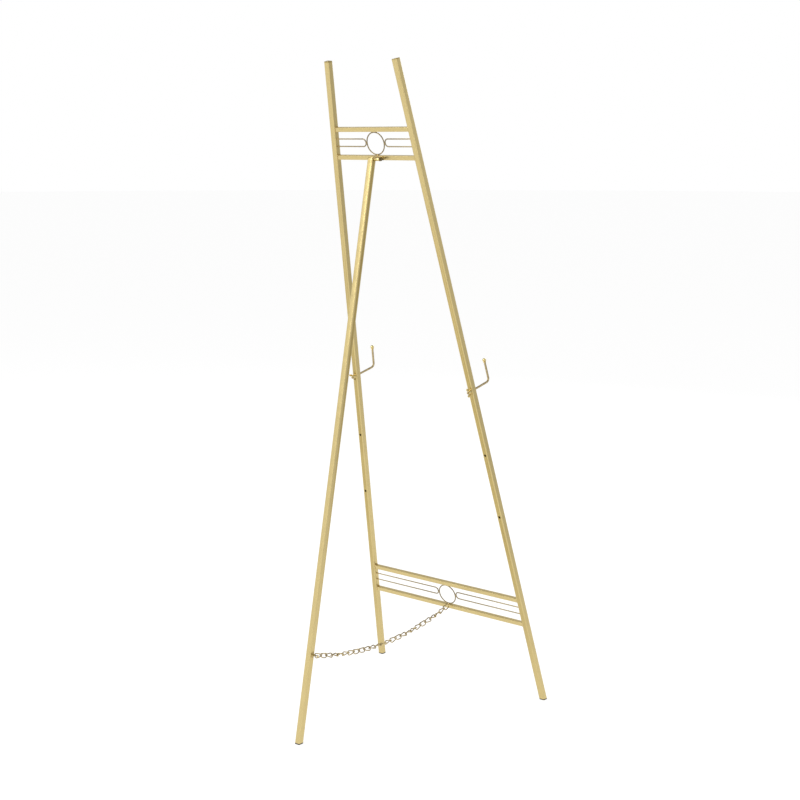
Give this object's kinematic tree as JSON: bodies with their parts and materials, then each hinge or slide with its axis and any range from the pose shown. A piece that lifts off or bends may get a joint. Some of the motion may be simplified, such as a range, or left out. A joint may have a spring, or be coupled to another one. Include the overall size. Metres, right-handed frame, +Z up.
{
  "type": "display easel",
  "caption": "Folding floor easel of square metal tube: two front legs, ring crossbars, a hinged rear leg on a chain, and bent hooks held by wing nuts.",
  "frame": {"origin": "on the floor, under the middle of the easel's outline", "axes": "+Z up, the front with its hooks faces -Y, +X points to the easel's left_ nodes"},
  "size_m": [0.5746, 0.6435, 1.6344],
  "materials": {
    "gold_steel": "satin",
    "gold_wire": "satin",
    "brass": "polished",
    "black_plastic": "matte"
  },
  "bodies": {
    "front_frame": {"hinge_bracket": "brass", "hinge_bolt": "brass", "hinge_washer": "brass", "hinge_nut": "brass", "rail_chain_eye": "brass", "front_leg_left": "gold_steel", "front_foot_left": "black_plastic", "top_cap_left": "gold_steel", "front_leg_right": "gold_steel", "front_foot_right": "black_plastic", "top_cap_right": "gold_steel", "upper_rail_top": "gold_steel", "upper_rail_bottom": "gold_steel", "upper_ring": "gold_wire", "upper_wire_left": "gold_wire", "upper_wire_right": "gold_wire", "lower_rail_top": "gold_steel", "lower_rail_bottom": "gold_steel", "lower_ring": "gold_wire", "lower_wire_left": "gold_wire", "lower_wire_right": "gold_wire"},
    "back_leg": {"rear_leg": "gold_steel", "rear_foot": "black_plastic", "rear_leg_cap": "gold_steel"},
    "left_hook": {"hook_left": "brass", "hook_ball_left": "brass", "hook_washer_left": "brass"},
    "left_wing_nut": {"wing_nut_left": "brass"},
    "right_hook": {"hook_right": "brass", "hook_ball_right": "brass", "hook_washer_right": "brass"},
    "right_wing_nut": {"wing_nut_right": "brass"},
    "chain_1": {"chain_link_01": "brass", "chain_link_02": "brass", "chain_link_03": "brass", "chain_link_04": "brass", "chain_link_05": "brass", "chain_link_06": "brass", "chain_link_07": "brass", "chain_link_08": "brass", "chain_link_09": "brass", "chain_link_10": "brass"},
    "chain_2": {"chain_link_11": "brass", "chain_link_12": "brass", "chain_link_13": "brass", "chain_link_14": "brass", "chain_link_15": "brass", "chain_link_16": "brass", "chain_link_17": "brass"},
    "chain_3": {"chain_link_18": "brass", "chain_link_19": "brass", "chain_link_20": "brass", "chain_link_21": "brass", "chain_link_22": "brass", "chain_link_23": "brass", "chain_link_24": "brass", "chain_link_25": "brass", "chain_link_26": "brass", "leg_chain_eye": "brass"}
  },
  "joints": [
    {"name": "rear_leg_fold", "type": "hinge", "parent": "front_frame", "child": "back_leg", "pos_m": [0.0025, 0.04, 1.39974], "axis": [-1, 0, 0], "range_deg": [0, 24.2]},
    {"name": "hook_left_swivel", "type": "hinge", "parent": "front_frame", "child": "left_hook", "pos_m": [0.19104, -0.11273, 0.836], "axis": [0, 0.9722, -0.2341], "continuous": true},
    {"name": "wing_nut_left_turn", "type": "hinge", "parent": "left_hook", "child": "left_wing_nut", "pos_m": [0.19104, -0.11273, 0.836], "axis": [0, 0.9722, -0.2341], "continuous": true},
    {"name": "hook_right_swivel", "type": "hinge", "parent": "front_frame", "child": "right_hook", "pos_m": [-0.19104, -0.11273, 0.836], "axis": [0, 0.9722, -0.2341], "continuous": true},
    {"name": "wing_nut_right_turn", "type": "hinge", "parent": "right_hook", "child": "right_wing_nut", "pos_m": [-0.19104, -0.11273, 0.836], "axis": [0, 0.9722, -0.2341], "continuous": true},
    {"name": "chain_1_bend", "type": "hinge", "parent": "front_frame", "child": "chain_1", "pos_m": [-0.0122, -0.24842, 0.21701], "axis": [-1, 0, 0], "range_deg": [0, 82.29]},
    {"name": "chain_2_bend", "type": "hinge", "parent": "chain_1", "child": "chain_2", "pos_m": [-0.0122, -0.04971, 0.18151], "axis": [-1, 0, 0], "range_deg": [-110.34, 0]},
    {"name": "chain_3_bend", "type": "hinge", "parent": "chain_2", "child": "chain_3", "pos_m": [-0.0122, 0.09169, 0.18256], "axis": [-1, 0, 0], "range_deg": [-89.18, 0]}
  ],
  "couplings": [
    {"joint": "chain_1_bend", "follows": "rear_leg_fold", "ratio": 3.38},
    {"joint": "chain_2_bend", "follows": "rear_leg_fold", "ratio": -4.5388},
    {"joint": "chain_3_bend", "follows": "rear_leg_fold", "ratio": -3.6643}
  ]
}
